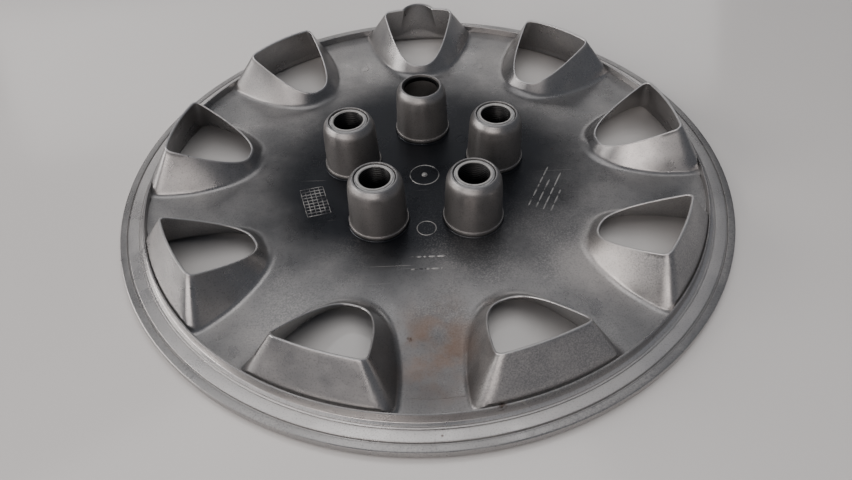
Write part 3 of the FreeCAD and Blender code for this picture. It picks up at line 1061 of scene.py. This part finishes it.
def silver_paint():
    """Thin metallic paint on a dark moulding: sandy in places, scratched, stained, lighter on the window
    edges, with some painted shade.
    """
    s = Shading("silver_moulding")
    x, y, z = s.split()
    radius = s.away_from((0.0, 0.0, 0.0), (1.0, 1.0, 0.0))
    boss = from_boss(s)
    wheel_side = s.remap(z, *WHEEL_SIDE)
    thin = s.times(thin_paint(s), wheel_side)
    blotches = s.noise(24.0, 5.0, 0.65)
    patch = s.times(s.remap(blotches, 0.38, 0.70, 0.0, 0.36), s.without(thin))
    colour = s.mix(patch, s.mix(thin, SILVER, BARE_AND_SHADE), SILVER_LIGHT)
    # One lighter place on the spoke at the lower right.
    light = s.remap(s.away_from(LIGHT_CENTRE), *LIGHT_FADE, 0.75, 0.0)
    colour = s.mix(light, colour, SILVER_LIGHT)

    # Bosses, with a slightly lighter shoulder and mouth.
    on_boss = s.times(s.remap(z, *BOSS_FOOT), s.remap(boss, *BOSS_OUTSIDE, 1.0, 0.0))
    colour = s.mix(on_boss, colour, BOSS_GREY)
    shoulder = s.times(s.remap(z, *BOSS_SHOULDER, 0.0, 0.15), on_boss)
    colour = s.mix(shoulder, colour, SILVER)
    mouth = s.times(s.remap(z, *MOUTH_RIM), s.remap(boss, *MOUTH_OUTSIDE))
    colour = s.mix(s.times(mouth, on_boss), colour, SILVER)

    colour = s.mix(s.remap(radius, *RIM_START, 0.0, 0.9), colour, RIM_BAND)
    colour = s.mix(s.remap(radius, *LIP_START, 0.0, 0.6), colour, DULL_LIP)

    # Sandy grain, but not on the bosses and little where the paint is thin.
    sandy = s.times(s.remap(s.noise(15.0, 3.0), 0.42, 0.6), s.remap(y, *SANDY_PART, 1.0, 0.25))
    sandy = s.times(sandy, s.without(on_boss))
    sandy = s.times(sandy, s.without(s.times(thin, 0.8)))
    grit = s.noise(1100.0, 3.0, 0.7)
    colour = s.mix(s.times(sandy, s.remap(grit, 0.5, 0.62, 0.0, 0.5)), colour, SILVER_LIGHT)
    colour = s.mix(s.remap(grit, 0.3, 0.5, 0.3, 0.0), colour, BARE_AND_SHADE)

    # Painted shade: a darker place on the near spoke, matched to the shade in the photo rather than to wear.
    painted_shade = s.remap(s.away_from(PAINTED_SHADE_CENTRE, (1.0, 0.75, 1.0)), *PAINTED_SHADE_FADE, 0.55, 0.0)
    colour = s.mix(s.times(painted_shade, wheel_side), colour, BARE_AND_SHADE)

    # Rusty stain and spots, scratches and lighter window edges.
    stain_area = s.remap(s.away_from(STAIN_CENTRE, (1.0, 0.7, 1.0)), *STAIN_FADE, 1.0, 0.0)
    stain = s.times(stain_area, s.remap(s.noise(55.0, 4.0), 0.35, 0.65, 0.0, 0.55))
    colour = s.mix(s.times(stain, wheel_side), colour, STAIN)
    for *centre, size in RUST_SPOTS:
        spot = s.remap(s.away_from(np.array(centre) * MM), size * 0.4 * MM, size * MM, 0.8, 0.0)
        colour = s.mix(s.times(spot, s.remap(s.noise(400.0, 3.0), 0.35, 0.6)), colour, RUST)
    scratches = s.math("MAXIMUM", hairlines(s, 0.6, 0.74), hairlines(s, 2.2, 0.75))
    colour = s.mix(s.times(scratches, 0.5), colour, SILVER_LIGHT)
    colour = s.mix(s.times(window_edges(s, x, y, z, radius), 0.55), colour, LIGHTER_EDGE)

    # Painted shade: black on the ledge and walls inside each boss's mouth, round the ring.
    mouth_shade = s.times(s.remap(boss, *MOUTH_INSIDE, 1.0, 0.0), s.remap(z, *MOUTH_TOP, 1.0, 0.0))
    colour = s.mix(mouth_shade, colour, SHADE_BLACK)

    roughness = s.remap(s.noise(40.0, 4.0, 0.6), 0.3, 0.7, 0.24, 0.39)
    roughness = s.math("ADD", roughness, s.times(sandy, 0.10))
    roughness = s.math("ADD", roughness, s.times(on_boss, 0.12))
    skin = s.bump(s.noise(260.0, 3.0, 0.6), 0.00005, 0.5)
    normal = s.bump(s.times(grit, s.math("ADD", sandy, 0.25)), 0.00010, 0.6, skin)
    return s.finish(colour, roughness, normal, Metallic=0.85)


def raised_marks():
    """The paint on the small raised marks, rubbed brighter in places."""
    s = Shading("raised_marks")
    colour = s.mix(s.remap(s.noise(140.0, 3.0), 0.34, 0.54), MARK_DARK, MARK_WORN)
    roughness = s.remap(s.noise(300.0, 3.0), 0.3, 0.7, 0.3, 0.5)
    return s.finish(colour, roughness, s.bump(s.noise(900.0, 3.0), 0.00004, 0.4), Metallic=0.6)


def cap_plastic():
    """Dark satin moulding of the nut caps, bright on the end that the paint reached."""
    s = Shading("cap_plastic")
    z = s.split()["Z"]
    colour = s.mix(s.remap(s.noise(90.0, 4.0), 0.35, 0.7, 0.0, 0.6), CAP_DARK, CAP_LIGHT)
    # Painted shade: the threaded socket black down to its floor.
    socket_shade = s.times(s.remap(from_boss(s), *BORE_INSIDE, 1.0, 0.0), s.remap(z, *BORE_FLOOR))
    colour = s.mix(socket_shade, colour, SHADE_BLACK)
    end_face = s.times(s.remap(z, *CAP_TOP), s.remap(s.noise(300.0, 3.0), 0.3, 0.6, 0.75, 1.0))
    colour = s.mix(end_face, colour, CAP_END)
    roughness = s.remap(s.noise(240.0, 3.0), 0.3, 0.7, 0.35, 0.55)
    return s.finish(colour, roughness, s.bump(s.noise(900.0, 2.0, 0.5), 0.00003, 0.5), Metallic=0.4)


def ring_plastic():
    """Mottled light grey plastic of the retaining rings."""
    s = Shading("ring_plastic")
    colour = s.mix(s.remap(s.noise(260.0, 4.0, 0.65), 0.35, 0.7, 0.0, 0.7), RING_DARK, RING_LIGHT)
    roughness = s.remap(s.noise(400.0, 3.0), 0.3, 0.7, 0.3, 0.5)
    return s.finish(colour, roughness, s.bump(s.noise(1100.0, 3.0), 0.00004, 0.5), Metallic=0.6)


def floor_gloss():
    s = Shading("table_gloss")
    colour = s.mix(s.remap(s.noise(1.5, 3.0), 0.3, 0.7), TABLE_DARK, TABLE_LIGHT)
    roughness = s.remap(s.noise(6.0, 3.0), 0.3, 0.7, 0.10, 0.15)
    return s.finish(colour, roughness, s.bump(s.noise(30.0, 2.0), 0.0001, 0.15))


# ---------------------------------------------------------------- the object
PAINT = silver_paint()
cover = place("wheel_cover_moulding", cover_mesh(), "cover", PAINT, "silver_moulding")
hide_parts("wheel_cover")
MARKS_FINISH = raised_marks()
PLAIN_MARKS = ("ejector_marks", "rim_ticks", "near_line")
for mark_name, mark_skins in mould_marks():
    finish = PAINT if mark_name in PLAIN_MARKS else MARKS_FINISH
    place(mark_name, joined(mark_name, mark_skins), "cover", finish, "silver_moulding", 60.0)

CAP_FINISH = cap_plastic()
RING_FINISH = ring_plastic()
for node in CAPS:
    number = int(node.rsplit("_", 1)[1])
    cap = place("threaded_cap_%d" % number, cap_mesh(number), "cap_%d" % number, CAP_FINISH, "cap_plastic")
    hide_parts(node)
    ring = place("snap_ring_%d" % number, ring_mesh(number), "retainer_%d" % number, RING_FINISH,
                 "ring_plastic")
    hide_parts("cap_retainer_%d" % number)


# ---------------------------------------------------------------- table, light and camera
# The table's surface, in millimetres, and its gap below the object, in metres.
TABLE_HALF_WIDTH = 6000.0
TABLE_NEAR = -4000.0
TABLE_FAR = 3000.0
TABLE_CURVE = 1500.0
BACKDROP_TOP = 5000.0
TABLE_GAP = 0.0002


def table():
    """A wide level surface that curves up far behind the object."""
    skin = Skin()
    rows = []
    for x in np.linspace(-TABLE_HALF_WIDTH, TABLE_HALF_WIDTH, 25):
        row = [np.array([x, y, 0.0]) for y in np.linspace(TABLE_NEAR, TABLE_FAR, 30)]
        for angle in np.linspace(0.0, math.pi / 2, 12)[1:]:
            out, up = TABLE_CURVE * math.sin(angle), TABLE_CURVE * (1 - math.cos(angle))
            row.append(np.array([x, TABLE_FAR + out, up]))
        row.append(np.array([x, TABLE_FAR + TABLE_CURVE, BACKDROP_TOP]))
        rows.append(row)
    skin.grid(rows)
    piece = bpy.data.objects.new("table_top", skin.mesh("table_top"))
    piece.data.shade_smooth()
    piece.data.materials.append(floor_gloss())
    bpy.context.scene.collection.objects.link(piece)
    piece.location.z = COVER_LOW.z - TABLE_GAP


WHITE_LIGHT = (1.0, 0.98, 0.96)
WINDOW_LIGHT = (1.0, 0.95, 0.91)
WARM_LIGHT = (1.0, 0.92, 0.87)
ROOM_COLOUR = (0.60, 0.68, 0.82, 1.0)
ROOM_STRENGTH = 0.18


def area_light(name, place_at, aim, size, power, tint, mirrored=True):
    """A rectangular light. One that isn't mirrored lights surfaces but shows in no reflection."""
    lamp = bpy.data.lights.new(name, "AREA")
    lamp.shape = "RECTANGLE"
    lamp.size, lamp.size_y = size
    lamp.energy = power
    lamp.color = tint
    holder = bpy.data.objects.new(name, lamp)
    bpy.context.scene.collection.objects.link(holder)
    holder.location = place_at
    holder.rotation_euler = (Vector(aim) - Vector(place_at)).to_track_quat("-Z", "Y").to_euler()
    holder.visible_glossy = mirrored


def lights():
    middle = (0.0, 0.0, 0.0)
    area_light("overhead", (-0.35, 0.50, 1.8), middle, (1.7, 1.1), 8.0, WHITE_LIGHT)
    area_light("soft_fill", (0.3, 0.0, 1.9), middle, (1.6, 1.6), 24.0, WHITE_LIGHT, mirrored=False)
    area_light("left_window", (-1.5, -0.05, 0.62), middle, (1.3, 0.8), 17.0, WINDOW_LIGHT)
    area_light("near_left", (-0.55, -1.5, 0.8), middle, (1.5, 0.7), 15.0, WARM_LIGHT)
    area_light("far_strip", (-0.2, 2.2, 1.25), (0.0, 0.1, 0.0), (3.0, 0.6), 7.0, WHITE_LIGHT)
    world = bpy.data.worlds.new("studio")
    bpy.context.scene.world = world
    world.use_nodes = True
    world.node_tree.nodes["Background"].inputs["Color"].default_value = ROOM_COLOUR
    world.node_tree.nodes["Background"].inputs["Strength"].default_value = ROOM_STRENGTH


FOCAL_LENGTH = 28.89
CAMERA_PLACE = Vector((1.37, -341.0, 309.8)) * MM
CAMERA_AIM = Vector((-0.69, -59.2, 6.0)) * MM
CAMERA_ROLL = -0.0485


def camera():
    """The photographed view: close to the near edge, looking down at about 47 degrees."""
    data = bpy.data.cameras.new("view")
    data.lens = FOCAL_LENGTH
    data.sensor_width = 36.0
    data.clip_start = 0.01
    holder = bpy.data.objects.new("view", data)
    bpy.context.scene.collection.objects.link(holder)
    forward = (CAMERA_AIM - CAMERA_PLACE).normalized()
    right = forward.cross(Vector((0.0, 0.0, 1.0))).normalized()
    up = right.cross(forward)
    turned_right = right * math.cos(CAMERA_ROLL) + up * math.sin(CAMERA_ROLL)
    turned_up = up * math.cos(CAMERA_ROLL) - right * math.sin(CAMERA_ROLL)
    axes = Matrix((turned_right, turned_up, -forward)).transposed()
    holder.matrix_world = Matrix.Translation(CAMERA_PLACE) @ axes.to_4x4()
    bpy.context.scene.camera = holder


table()
lights()
camera()
